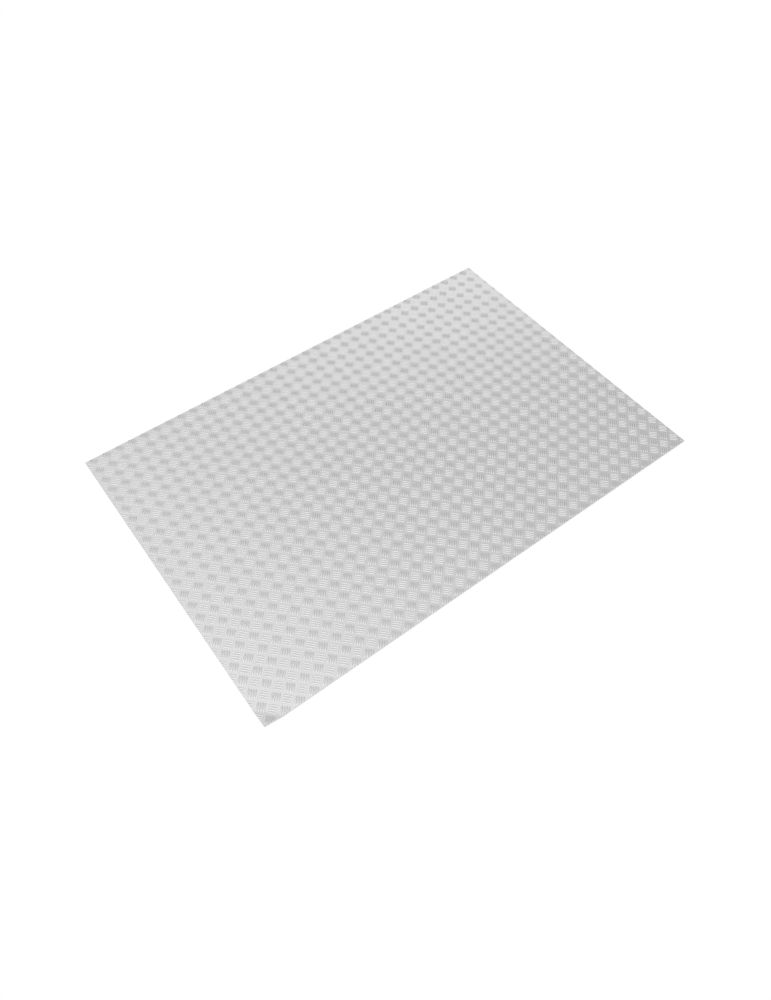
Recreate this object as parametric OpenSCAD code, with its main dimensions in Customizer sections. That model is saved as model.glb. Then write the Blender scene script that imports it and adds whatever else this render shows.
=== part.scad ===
// Checker plate: one rolled sheet, sheared to size, lying flat with its patterned face up.
// One of its corners is bent up a little along a slanting crease.
// Origin: middle of the underside. +X runs along the longer edges, +Z points out of the patterned face.
// Units: millimetres.

/* [Sheet] */
// Length of the longer edges, across the rolling direction
sheet_length = 1250; // [400:10:3000]
// Length of the shorter edges, along the rolling direction
sheet_width = 850; // [300:10:2000]
// Thickness of the sheet between its raised bars
sheet_thickness = 3; // [1.5:0.5:8]

/* [Sheared edges] */
// Radius to which the shear blade rolled the upper edges over
edge_rollover = 0.6; // [0.2:0.1:1.2]
// Bevel that takes the burr off the lower edges
burr_bevel = 0.3; // [0.1:0.1:0.6]

/* [Bent corner] */
// Length of each edge from the bent corner to the crease
corner_leg = 45; // [25:1:150]
// Angle by which the corner is bent up
corner_lift = 18; // [3:1:40]
// Radius of the bend at the middle of the sheet's thickness
bend_radius = 15; // [8:1:25]

/* [Hidden] */

// Segments of a full turn on the rolled edges, and flats along the bend
round_steps = 48;
bend_steps = 6;
// How far a cutting shape stands out past what it cuts
cut_clearance = 1;

// Small enough to leave part of the sheared face standing on the thinnest sheet
rollover = min(edge_rollover, sheet_thickness / 2);
// Height at which the rolled edges begin
shoulder_height = sheet_thickness - rollover;
// Height of the layer that the bend neither stretches nor squeezes
neutral_height = sheet_thickness / 2;

// Direction from the middle of the sheet square to the crease, towards the bent corner
corner_heading = 225;
// Distances along that direction: the corner, the crease and the start of the bend
corner_reach = (sheet_length + sheet_width) / 2 / sqrt(2);
crease_reach = corner_reach - corner_leg / sqrt(2);
bend_reach = crease_reach - bend_radius * tan(corner_lift / 2);
// Length of edge, measured from the bent corner, that isn't flat
bent_edge = (corner_reach - bend_reach) * sqrt(2);

// Upper and lower radius of the bend, and a run of bent metal that passes the corner
upper_radius = bend_radius - neutral_height;
lower_radius = bend_radius + neutral_height;
bent_run = 2 * corner_leg;

// A place on the bend, in the upright plane square to the crease
function on_bend(radius, angle) =
    [bend_reach + radius * sin(angle), neutral_height + bend_radius - radius * cos(angle)];

// The end of the bent metal, past the corner
function past_corner(radius) =
    on_bend(radius, corner_lift) + bent_run * [cos(corner_lift), sin(corner_lift)];

// The bent sheet as a band without end along the crease, not yet sheared to size
module bent_band() {
    bend_angles = [for (step = [0 : bend_steps]) corner_lift * step / bend_steps];
    rotate([0, 0, corner_heading])
        rotate([90, 0, 0])
            linear_extrude(height = 2 * (sheet_length + sheet_width), center = true)
                polygon(concat(
                    [[-2 * corner_reach, 0]],
                    [for (angle = bend_angles) on_bend(lower_radius, angle)],
                    [past_corner(lower_radius), past_corner(upper_radius)],
                    [for (step = [bend_steps : -1 : 0]) on_bend(upper_radius, bend_angles[step])],
                    [[-2 * corner_reach, sheet_thickness]]
                ));
}

// What the shear leaves across one span, with the burr taken off below and room for the bent corner above
module sheared_span(span) {
    half = span / 2;
    room = sheet_thickness + bent_run;
    polygon([
        [-half + burr_bevel, 0],
        [half - burr_bevel, 0],
        [half, burr_bevel],
        [half, room],
        [-half, room],
        [-half, burr_bevel]
    ]);
}

// The sheet between its four sheared faces
module sheared_sheet() {
    intersection() {
        bent_band();
        rotate([90, 0, 0])
            linear_extrude(height = 2 * sheet_width, center = true)
                sheared_span(sheet_length);
        rotate([90, 0, 90])
            linear_extrude(height = 2 * sheet_length, center = true)
                sheared_span(sheet_width);
    }
}

// What the rollover takes off an upper edge that runs along X at the side away from the origin
module rolled_off(run, span) {
    translate([0, span / 2 - rollover, shoulder_height])
        rotate([90, 0, 90])
            linear_extrude(height = run)
                difference() {
                    square(rollover + cut_clearance);
                    circle(r = rollover, $fn = round_steps);
                }
}

// The rollover along a pair of edges of which one starts at the bent corner
module rolled_pair(length, span) {
    translate([-length / 2 - cut_clearance, 0, 0])
        rolled_off(length + 2 * cut_clearance, span);
    mirror([0, 1, 0])
        translate([-length / 2 + bent_edge, 0, 0])
            rolled_off(length - bent_edge + cut_clearance, span);
}

module checker_plate() {
    color("silver")
        difference() {
            sheared_sheet();
            rolled_pair(sheet_length, sheet_width);
            mirror([1, -1, 0]) rolled_pair(sheet_width, sheet_length);
        }
}

checker_plate();
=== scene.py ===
"""A bright rolled checker plate: its raised tread bars, mill finish, floor, soft light and camera."""

import logging
import math
from collections.abc import Mapping, Sequence
from dataclasses import dataclass
from enum import Enum
from typing import Any

import bmesh
import bpy
from mathutils import Matrix, Vector


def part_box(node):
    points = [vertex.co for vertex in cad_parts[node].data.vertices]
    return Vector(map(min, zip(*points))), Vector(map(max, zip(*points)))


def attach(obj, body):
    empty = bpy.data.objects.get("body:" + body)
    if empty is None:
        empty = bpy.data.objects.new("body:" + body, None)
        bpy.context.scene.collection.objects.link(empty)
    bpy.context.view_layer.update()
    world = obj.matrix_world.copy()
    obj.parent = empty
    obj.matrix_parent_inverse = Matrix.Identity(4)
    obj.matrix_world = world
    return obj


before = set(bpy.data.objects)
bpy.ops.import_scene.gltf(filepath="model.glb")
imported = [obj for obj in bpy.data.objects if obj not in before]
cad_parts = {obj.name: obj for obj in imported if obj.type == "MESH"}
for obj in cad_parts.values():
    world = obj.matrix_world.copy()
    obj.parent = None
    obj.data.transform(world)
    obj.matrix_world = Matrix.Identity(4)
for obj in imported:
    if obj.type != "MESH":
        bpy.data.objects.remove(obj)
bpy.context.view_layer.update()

log = logging.getLogger("checker_plate")

MM = 0.001
BODY = "root"
SHEET_NODE = "checker_plate"
# Points this close together are joined, and points this close to a cutting plane lie on it.
WELD_GAP = 0.01 * MM
PLANE_GAP = 0.001 * MM


def linear_rgba(hex_colour: str) -> tuple[float, float, float, float]:
    """Turns an sRGB hex colour into linear light.

    Args:
        hex_colour: Six hex digits, with or without a leading hash.

    Returns:
        Linear red, green and blue with an alpha of 1.
    """
    digits = hex_colour.lstrip("#")
    channels = [int(digits[i:i + 2], 16) / 255 for i in (0, 2, 4)]
    linear = [c / 12.92 if c <= 0.04045 else ((c + 0.055) / 1.055) ** 2.4 for c in channels]
    return (linear[0], linear[1], linear[2], 1.0)


def add_node(
    tree: bpy.types.NodeTree,
    kind: str,
    inputs: Mapping[str | int, Any] | None = None,
    **settings: Any,
) -> bpy.types.Node:
    """Adds one node, sets it up and links it.

    Args:
        tree: Node tree that gets the node.
        kind: Blender's name for the node type.
        inputs: Value or source socket for each input, by the input's name or number.
        settings: Properties of the node itself.

    Returns:
        The new node.
    """
    node = tree.nodes.new(kind)
    for name, value in settings.items():
        setattr(node, name, value)
    for key, value in (inputs or {}).items():
        if isinstance(value, bpy.types.NodeSocket):
            tree.links.new(value, node.inputs[key])
        else:
            node.inputs[key].default_value = value
    return node


class BarLean(Enum):
    """How a group of bars lies on the sheet, as the turn of its bars from +X in degrees."""

    FALLING = -45.0
    RISING = 45.0


@dataclass(frozen=True)
class TreadBar:
    """One raised bar, as a disc-shaped cut in the mill roll leaves it: long, round-ended and domed."""

    length: float = 23.2 * MM
    width: float = 4.4 * MM
    height: float = 1.0 * MM
    sunk: float = 0.2 * MM
    stations: int = 6
    ribs: int = 4
    tip_power: float = 4.5

    def add_to(self, bm: bmesh.types.BMesh, place: Matrix) -> None:
        """Models the bar on the sheet's face and puts it in its place.

        The grid is rolled up into a closed bar: its last strip is the flat underside.

        Args:
            bm: Mesh that the bar is added to.
            place: Turn and shift of the bar, whose middle starts at the origin along X.
        """
        strips = self.ribs + 1
        grid = bmesh.ops.create_grid(bm, x_segments=self.stations, y_segments=strips, size=1.0)
        verts = grid["verts"]
        for vert in verts:
            along = math.sin(vert.co.x * math.pi / 2)
            strip = round((vert.co.y + 1) / 2 * strips) % strips
            across = 2 * strip / self.ribs - 1
            fullness = 1 - abs(along) ** self.tip_power
            y = across * self.width / 2 * math.sqrt(fullness)
            z = (self.height + self.sunk) * fullness * (1 - across * across) - self.sunk
            vert.co = (along * self.length / 2, y, z)
        bmesh.ops.transform(bm, matrix=place, verts=verts)


@dataclass(frozen=True)
class BentCorner:
    """The corner bent up along a slanting crease, at the sizes that the part's source gives it."""

    thickness: float = 3.0 * MM
    leg: float = 45.0 * MM
    lift_deg: float = 18.0
    radius: float = 15.0 * MM

    def bend(self, bm: bmesh.types.BMesh, corner: Vector) -> None:
        """Bends what was modelled on a flat sheet.

        Args:
            bm: Mesh that is bent.
            corner: The sheet's corner on the lower X and lower Y sides.
        """
        lift = math.radians(self.lift_deg)
        middle = self.thickness / 2
        outward = Vector((-1, -1, 0)).normalized()
        start = corner.dot(outward) - self.leg / math.sqrt(2) - self.radius * math.tan(lift / 2)
        for vert in bm.verts:
            past = vert.co.dot(outward) - start
            if past <= 0:
                continue
            turn = min(past / self.radius, lift)
            straight = past - turn * self.radius
            arm = self.radius - (vert.co.z - middle)
            reach = arm * math.sin(turn) + straight * math.cos(turn)
            rise = self.radius - arm * math.cos(turn) + straight * math.sin(turn)
            vert.co += outward * (reach - past)
            vert.co.z = middle + rise


@dataclass(frozen=True)
class TreadPattern:
    """Where the groups of bars lie on the sheet."""

    pitch_x: float = 35.39 * MM
    pitch_y: float = 36.28 * MM
    first_x: float = -1.1 * MM
    first_y: float = -9.2 * MM
    bars_per_group: int = 4
    bar_pitch: float = 5.28 * MM


@dataclass(frozen=True)
class TreadField:
    """All the bars of one lean, as one joined mesh cut off flush with the sheet's edges.

    Attributes:
        name: Name of the finished piece.
        lean: How the bars of this field lie.
        bar: The single bar.
        pattern: Spacing of the groups and of the bars in a group.
        bent: The bent corner, which the bars follow.
        low: Lowest corner of the sheet.
        high: Highest corner of the sheet.
    """

    name: str
    lean: BarLean
    bar: TreadBar
    pattern: TreadPattern
    bent: BentCorner
    low: Vector
    high: Vector

    def first_group(self) -> Vector:
        """Finds the first group.

        Returns:
            Middle of the group in the first column and the farthest row, on the patterned face.
        """
        shift = 0.5 if self.lean is BarLean.RISING else 0.0
        x = self.low.x + self.pattern.first_x + shift * self.pattern.pitch_x
        y = self.high.y - self.pattern.first_y - shift * self.pattern.pitch_y
        return Vector((x, y, self.bent.thickness))

    def group_mesh(self) -> bpy.types.Mesh:
        """Models the first group, a row of bars side by side.

        Returns:
            A closed mesh of the group in its place.
        """
        bm = bmesh.new()
        turn = Matrix.Rotation(math.radians(self.lean.value), 4, "Z")
        middle = (self.pattern.bars_per_group - 1) / 2
        for index in range(self.pattern.bars_per_group):
            aside = Matrix.Translation((0, (index - middle) * self.pattern.bar_pitch, 0))
            self.bar.add_to(bm, Matrix.Translation(self.first_group()) @ turn @ aside)
        bmesh.ops.remove_doubles(bm, verts=bm.verts, dist=WELD_GAP)
        underside = self.bent.thickness - self.bar.sunk / 2
        for face in bm.faces:
            face.smooth = any(vert.co.z > underside for vert in face.verts)
        bmesh.ops.recalc_face_normals(bm, faces=bm.faces)
        mesh = bpy.data.meshes.new(self.name)
        bm.to_mesh(mesh)
        bm.free()
        return mesh

    @staticmethod
    def close(bm: bmesh.types.BMesh) -> None:
        """Fills every open loop of a mesh with a flat face and turns all faces outwards.

        Args:
            bm: Mesh that is closed.
        """
        rim = [edge for edge in bm.edges if edge.is_boundary]
        filled = bmesh.ops.holes_fill(bm, edges=rim, sides=0)
        for face in filled["faces"]:
            face.smooth = False
        bmesh.ops.recalc_face_normals(bm, faces=bm.faces)

    def repeated(self, group: bpy.types.Mesh) -> bpy.types.Mesh:
        """Repeats the first group over the sheet with two arrays.

        Args:
            group: Mesh of the first group.

        Returns:
            One mesh with every group.
        """
        host = bpy.data.objects.new(self.name + "_group", group)
        bpy.context.scene.collection.objects.link(host)
        start = self.first_group()
        steps = (
            (Vector((self.pattern.pitch_x, 0, 0)), self.high.x + self.pattern.pitch_x / 2 - start.x),
            (Vector((0, -self.pattern.pitch_y, 0)), start.y - self.low.y + self.pattern.pitch_y / 2),
        )
        for step, span in steps:
            array = host.modifiers.new("repeat", "ARRAY")
            array.use_relative_offset = False
            array.use_constant_offset = True
            array.constant_offset_displace = step
            array.count = int(span / step.length) + 1
        evaluated = host.evaluated_get(bpy.context.evaluated_depsgraph_get())
        mesh = bpy.data.meshes.new_from_object(evaluated)
        bpy.data.objects.remove(host)
        return mesh

    def trim(self, mesh: bpy.types.Mesh, inset: float = 0.05 * MM) -> None:
        """Bends the bars with the corner, cuts off what lies past the edges and closes the cut bars.

        Args:
            mesh: Mesh of every group, changed in place.
            inset: How far inside the sheared faces the cut lies.
        """
        bm = bmesh.new()
        bm.from_mesh(mesh)
        self.bent.bend(bm, self.low)
        cuts = (
            (self.low, Vector((-1, 0, 0))),
            (self.low, Vector((0, -1, 0))),
            (self.high, Vector((1, 0, 0))),
            (self.high, Vector((0, 1, 0))),
        )
        for corner, outward in cuts:
            bmesh.ops.bisect_plane(
                bm,
                geom=bm.verts[:] + bm.edges[:] + bm.faces[:],
                dist=PLANE_GAP,
                plane_co=corner - outward * inset,
                plane_no=outward,
                clear_outer=True,
            )
            self.close(bm)
        bm.to_mesh(mesh)
        bm.free()

    def build(self, finish: bpy.types.Material) -> bpy.types.Object:
        """Builds the field, dresses it and fixes it to the sheet.

        Args:
            finish: Material of the bars.

        Returns:
            The finished piece.
        """
        mesh = self.repeated(self.group_mesh())
        self.trim(mesh)
        mesh.name = self.name
        mesh.materials.clear()
        mesh.materials.append(finish)
        piece = bpy.data.objects.new(self.name, mesh)
        bpy.context.scene.collection.objects.link(piece)
        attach(piece, BODY)
        mesh.calc_loop_triangles()
        log.info("%s: %d triangles", self.name, len(mesh.loop_triangles))
        return piece


@dataclass(frozen=True)
class MillFinish:
    """Bright cold-finished steel: neutral silver, a soft sheen, faint rolling lines, dull cut edges."""

    name: str = "bright_rolled_steel"
    # Two near silvers in broad clouds keep the sheet from looking like one flat grey.
    light: str = "#DEDEDE"
    dark: str = "#DADADA"
    # The sheared faces are torn steel, which looks duller and a little darker than the rolled face.
    sheared: str = "#C9C9C9"
    sheared_roughness: float = 0.42
    # Smooth enough that each bar shows a light side and a dark side, too rough for a clear mirror image.
    roughness: float = 0.17
    roughness_spread: float = 0.04
    mottle_mm: float = 140.0
    # Real rolling lines are finer than a millimetre. They are drawn coarser, to show as a soft streak.
    line_mm: float = 4.0
    line_run_mm: float = 260.0
    line_depth_mm: float = 0.010
    # Most of the noise lies between these two values.
    noise_low: float = 0.25
    noise_high: float = 0.75
    # How far a face points up where it is all sheared and where it is all rolled.
    sheared_upward: float = 0.2
    rolled_upward: float = 0.4

    def material(self) -> bpy.types.Material:
        """Builds the node material.

        Returns:
            The material, which reads Object coordinates and the faces' own directions.
        """
        made = bpy.data.materials.new(self.name)
        made.use_nodes = True
        tree = made.node_tree
        tree.nodes.clear()
        place = add_node(tree, "ShaderNodeTexCoord").outputs["Object"]
        mottle = self.cloud(tree, place, (1 / (self.mottle_mm * MM),) * 3, detail=3.0)
        line_scale = (1 / (self.line_mm * MM), 1 / (self.line_run_mm * MM), 1 / (self.line_mm * MM))
        lines = self.cloud(tree, place, line_scale, detail=2.0)
        tone = add_node(
            tree,
            "ShaderNodeMix",
            {"Factor": mottle, "A": linear_rgba(self.light), "B": linear_rgba(self.dark)},
            data_type="RGBA",
        )
        cut = self.cut_share(tree)
        colour = add_node(
            tree,
            "ShaderNodeMix",
            {"Factor": cut, "A": tone.outputs["Result"], "B": linear_rgba(self.sheared)},
            data_type="RGBA",
        )
        sheen = add_node(
            tree,
            "ShaderNodeMapRange",
            {
                "Value": mottle,
                "From Min": self.noise_low,
                "From Max": self.noise_high,
                "To Min": self.roughness - self.roughness_spread / 2,
                "To Max": self.roughness + self.roughness_spread / 2,
            },
        )
        gloss = add_node(
            tree,
            "ShaderNodeMix",
            {"Factor": cut, "A": sheen.outputs["Result"], "B": self.sheared_roughness},
            data_type="FLOAT",
        )
        bump = add_node(
            tree,
            "ShaderNodeBump",
            {"Height": lines, "Strength": 1.0, "Distance": self.line_depth_mm * MM},
        )
        metal = add_node(
            tree,
            "ShaderNodeBsdfPrincipled",
            {
                "Base Color": colour.outputs["Result"],
                "Metallic": 1.0,
                "Roughness": gloss.outputs["Result"],
                "Normal": bump.outputs["Normal"],
            },
        )
        add_node(tree, "ShaderNodeOutputMaterial", {"Surface": metal.outputs["BSDF"]})
        return made

    def cut_share(self, tree: bpy.types.NodeTree) -> bpy.types.NodeSocket:
        """Tells the upright sheared faces from the rolled ones.

        Args:
            tree: Node tree that gets the nodes.

        Returns:
            1 on upright faces, fading to 0 before the slope of a bar's side.
        """
        normal = add_node(tree, "ShaderNodeNewGeometry").outputs["True Normal"]
        upward = add_node(tree, "ShaderNodeSeparateXYZ", {"Vector": normal}).outputs["Z"]
        flatness = add_node(tree, "ShaderNodeMath", {0: upward}, operation="ABSOLUTE")
        share = add_node(
            tree,
            "ShaderNodeMapRange",
            {
                "Value": flatness.outputs["Value"],
                "From Min": self.sheared_upward,
                "From Max": self.rolled_upward,
                "To Min": 1.0,
                "To Max": 0.0,
            },
        )
        return share.outputs["Result"]

    @staticmethod
    def cloud(
        tree: bpy.types.NodeTree,
        place: bpy.types.NodeSocket,
        scale: Sequence[float],
        detail: float,
    ) -> bpy.types.NodeSocket:
        """Adds a soft noise pattern.

        Args:
            tree: Node tree that gets the pattern.
            place: Coordinates that it reads.
            scale: Patches per metre along X, Y and Z.
            detail: Number of finer layers in the noise.

        Returns:
            The noise's value, about 0 to 1.
        """
        spot = add_node(tree, "ShaderNodeMapping", {"Vector": place, "Scale": scale})
        noise = add_node(
            tree,
            "ShaderNodeTexNoise",
            {"Vector": spot.outputs["Vector"], "Scale": 1.0, "Detail": detail},
        )
        return noise.outputs["Fac"]


@dataclass(frozen=True)
class SoftLight:
    """A broad glow in the room, strongest one way and fading around it. Below zero it is a shade."""

    toward: tuple[float, float, float]
    edge: float
    core: float
    gain: float

    def level(self, tree: bpy.types.NodeTree, direction: bpy.types.NodeSocket) -> bpy.types.NodeSocket:
        """Adds the glow's nodes.

        Args:
            tree: Node tree of the world.
            direction: The direction that is looked in.

        Returns:
            What the glow adds to the room's level.
        """
        facing = add_node(
            tree,
            "ShaderNodeVectorMath",
            {0: direction, 1: Vector(self.toward).normalized()},
            operation="DOT_PRODUCT",
        )
        glow = add_node(
            tree,
            "ShaderNodeMapRange",
            {
                "Value": facing.outputs["Value"],
                "From Min": self.edge,
                "From Max": self.core,
                "To Min": 0.0,
                "To Max": self.gain,
            },
            interpolation_type="SMOOTHSTEP",
        )
        return glow.outputs["Result"]


@dataclass(frozen=True)
class Studio:
    """The pale floor, the soft light and the camera."""

    floor_half: float = 12.0
    floor_drop: float = 0.1 * MM
    floor_colour: str = "#FAFAFA"
    floor_white: float = 0.92
    # The room's even light, then what each glow or shade adds to it, as fitted to the photo's tones.
    room_level: float = 0.745
    window: SoftLight = SoftLight(toward=(-0.85, -0.20, 0.50), edge=-0.12, core=0.70, gain=0.55)
    window_foot: SoftLight = SoftLight(toward=(-0.50, 0.00, -0.87), edge=0.00, core=0.12, gain=-0.25)
    ceiling: SoftLight = SoftLight(toward=(0.10, -0.30, 1.00), edge=0.66, core=0.95, gain=0.11)
    far_wall: SoftLight = SoftLight(toward=(0.50, 0.80, 0.20), edge=0.77, core=0.93, gain=0.42)
    wall_foot: SoftLight = SoftLight(toward=(0.45, 0.85, 0.10), edge=0.83, core=0.90, gain=-0.36)
    right_side: SoftLight = SoftLight(toward=(0.85, 0.20, 0.50), edge=0.92, core=0.985, gain=-0.18)
    near_right: SoftLight = SoftLight(toward=(0.62, -0.35, 0.70), edge=0.86, core=0.97, gain=0.20)
    eye: tuple[float, float, float] = (-0.7742, -1.0422, 1.6072)
    aim: tuple[float, float, float] = (-0.0929, -0.1175, 0.003)
    roll_deg: float = 0.42
    lens_mm: float = 29.43
    sensor_mm: float = 36.0
    near_clip: float = 0.05

    def floor(self) -> bpy.types.Object:
        """Lays the floor just under the sheet.

        Returns:
            The floor.
        """
        bm = bmesh.new()
        bmesh.ops.create_grid(bm, x_segments=1, y_segments=1, size=self.floor_half)
        bmesh.ops.translate(bm, vec=(0, 0, -self.floor_drop), verts=bm.verts)
        mesh = bpy.data.meshes.new("floor")
        bm.to_mesh(mesh)
        bm.free()
        mesh.materials.append(self.floor_finish())
        piece = bpy.data.objects.new("floor", mesh)
        bpy.context.scene.collection.objects.link(piece)
        return piece

    def floor_finish(self) -> bpy.types.Material:
        """Builds the floor's matt white, which the camera and the metal see close to full white.

        Returns:
            The floor's material, which still takes the sheet's shadow.
        """
        made = bpy.data.materials.new("matt_white_floor")
        made.use_nodes = True
        tree = made.node_tree
        tree.nodes.clear()
        path = add_node(tree, "ShaderNodeLightPath")
        seen = add_node(
            tree,
            "ShaderNodeMath",
            {0: path.outputs["Is Camera Ray"], 1: path.outputs["Is Glossy Ray"]},
            operation="ADD",
        )
        seen = add_node(
            tree,
            "ShaderNodeMath",
            {0: seen.outputs["Value"], 1: path.outputs["Is Transmission Ray"]},
            operation="ADD",
            use_clamp=True,
        )
        share = add_node(
            tree,
            "ShaderNodeMath",
            {0: seen.outputs["Value"], 1: self.floor_white},
            operation="MULTIPLY",
        )
        matt = add_node(tree, "ShaderNodeBsdfDiffuse", {"Color": linear_rgba(self.floor_colour)})
        white = add_node(tree, "ShaderNodeEmission", {"Color": (1, 1, 1, 1), "Strength": 1.0})
        both = add_node(
            tree,
            "ShaderNodeMixShader",
            {0: share.outputs["Value"], 1: matt.outputs["BSDF"], 2: white.outputs["Emission"]},
        )
        add_node(tree, "ShaderNodeOutputMaterial", {"Surface": both.outputs["Shader"]})
        return made

    def light(self) -> None:
        """Lights an even room with a soft window on the camera's left and paler and darker walls."""
        world = bpy.data.worlds.new("studio")
        bpy.context.scene.world = world
        world.use_nodes = True
        tree = world.node_tree
        tree.nodes.clear()
        direction = add_node(tree, "ShaderNodeTexCoord").outputs["Generated"]
        level: bpy.types.NodeSocket | float = self.room_level
        glows = (self.window, self.ceiling, self.near_right, self.far_wall)
        shades = (self.window_foot, self.wall_foot, self.right_side)
        for soft in glows + shades:
            added = add_node(
                tree,
                "ShaderNodeMath",
                {0: level, 1: soft.level(tree, direction)},
                operation="ADD",
            )
            level = added.outputs["Value"]
        sky = add_node(
            tree,
            "ShaderNodeBackground",
            {"Color": (1, 1, 1, 1), "Strength": level},
        )
        add_node(tree, "ShaderNodeOutputWorld", {"Surface": sky.outputs["Background"]})

    def camera(self) -> bpy.types.Object:
        """Sets up the camera where the photograph was taken from.

        Returns:
            The camera.
        """
        lens = bpy.data.cameras.new("camera")
        lens.sensor_fit = "AUTO"
        lens.sensor_width = self.sensor_mm
        lens.lens = self.lens_mm
        lens.clip_start = self.near_clip
        shooter = bpy.data.objects.new("camera", lens)
        gaze = Vector(self.aim) - Vector(self.eye)
        turn = gaze.to_track_quat("-Z", "Y").to_matrix().to_4x4()
        roll = Matrix.Rotation(math.radians(-self.roll_deg), 4, "Z")
        shooter.matrix_world = Matrix.Translation(self.eye) @ turn @ roll
        bpy.context.scene.collection.objects.link(shooter)
        bpy.context.scene.camera = shooter
        return shooter


def dress_sheet(finish: bpy.types.Material) -> None:
    """Puts the finish on the sheet itself.

    Args:
        finish: Material of the sheet.
    """
    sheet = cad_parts[SHEET_NODE]
    sheet.data.materials.clear()
    sheet.data.materials.append(finish)


def main() -> None:
    """Builds the studio, dresses the sheet and adds its bars."""
    logging.basicConfig(level=logging.INFO)
    bpy.context.scene.view_settings.view_transform = "Standard"
    studio = Studio()
    studio.camera()
    studio.light()
    studio.floor()
    low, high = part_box(SHEET_NODE)
    finish = MillFinish().material()
    dress_sheet(finish)
    for lean in BarLean:
        name = "tread_bars_" + lean.name.lower()
        TreadField(name, lean, TreadBar(), TreadPattern(), BentCorner(), low, high).build(finish)


if __name__ == "__main__":
    main()
